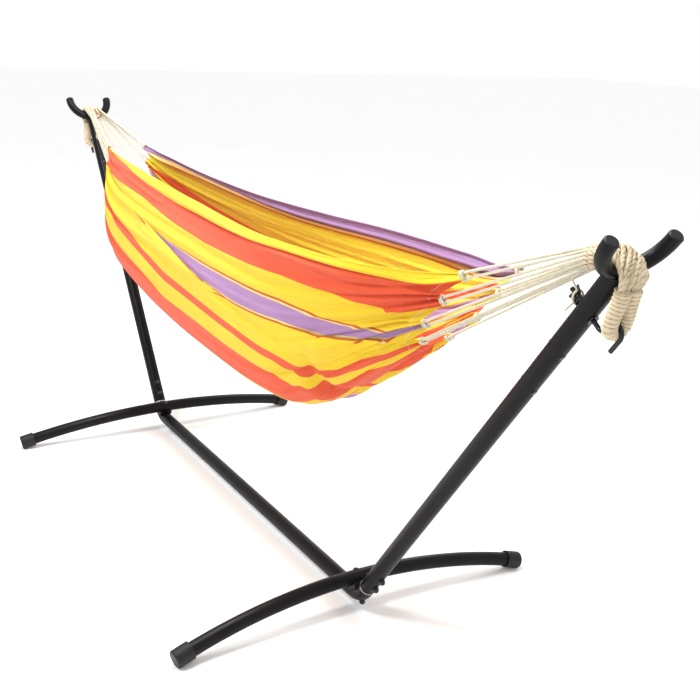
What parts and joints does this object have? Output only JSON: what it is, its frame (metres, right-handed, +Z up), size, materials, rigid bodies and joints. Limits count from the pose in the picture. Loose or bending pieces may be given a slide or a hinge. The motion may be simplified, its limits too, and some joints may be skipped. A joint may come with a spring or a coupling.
{
  "type": "hammock on stand",
  "caption": "Striped cotton hammock hung by gathered cords and whipped end loops from the cradles of a black steel tube stand with arched floor legs.",
  "frame": {"origin": "bottom centre of the stand, on the floor plane below the middle of the base beam", "axes": "+X along the stand and hammock, +Y across it, +Z up"},
  "size_m": [3.0298, 1.05, 1.1446],
  "materials": {
    "striped_cloth": "woven, striped",
    "cotton_cord": "twisted cotton",
    "black_tube": "satin powder coat",
    "black_hardware": "gloss black",
    "bright_steel": "zinc plated",
    "black_plastic": "moulded"
  },
  "bodies": {
    "stand": {"arm_base_bolts_left": "black_hardware", "arm_base_bolts_right": "black_hardware", "arm_joint_bolts_left": "black_hardware", "arm_joint_bolts_right": "black_hardware", "arm_sleeve_left": "black_tube", "arm_sleeve_right": "black_tube", "base_beam": "black_tube", "beam_end_bolt_left": "black_hardware", "beam_end_bolt_right": "black_hardware", "cradle_left": "black_tube", "cradle_plugs_left": "black_plastic", "cradle_plugs_right": "black_plastic", "cradle_right": "black_tube", "elbow_left": "black_tube", "elbow_right": "black_tube", "end_loop_left": "cotton_cord", "end_loop_right": "cotton_cord", "foot_cap_left_front": "black_plastic", "foot_cap_left_rear": "black_plastic", "foot_cap_right_front": "black_plastic", "foot_cap_right_rear": "black_plastic", "hook_nuts_left": "black_hardware", "hook_nuts_right": "black_hardware", "leg_bolt_left": "black_hardware", "leg_bolt_right": "black_hardware", "leg_left": "black_tube", "leg_right": "black_tube", "leg_saddle_left": "black_plastic", "leg_saddle_right": "black_plastic", "lower_arm_left": "black_tube", "lower_arm_right": "black_tube", "rope_hook_left": "black_hardware", "rope_hook_right": "black_hardware", "seam_ring_left": "bright_steel", "seam_ring_right": "bright_steel", "upper_arm_left": "black_tube", "upper_arm_right": "black_tube", "wing_nut_left": "black_hardware", "wing_nut_right": "black_hardware"},
    "hammock": {"cord_left_1": "cotton_cord", "cord_left_2": "cotton_cord", "cord_left_3": "cotton_cord", "cord_left_4": "cotton_cord", "cord_left_5": "cotton_cord", "cord_left_6": "cotton_cord", "cord_left_7": "cotton_cord", "cord_left_8": "cotton_cord", "cord_right_1": "cotton_cord", "cord_right_2": "cotton_cord", "cord_right_3": "cotton_cord", "cord_right_4": "cotton_cord", "cord_right_5": "cotton_cord", "cord_right_6": "cotton_cord", "cord_right_7": "cotton_cord", "cord_right_8": "cotton_cord", "hammock_bed": "striped_cloth"}
  },
  "joints": [
    {"name": "hammock_swing", "type": "hinge", "parent": "stand", "child": "hammock", "pos_m": [0, 0, 1.084], "axis": [1, 0, 0], "range_deg": [-25, 25]}
  ]
}
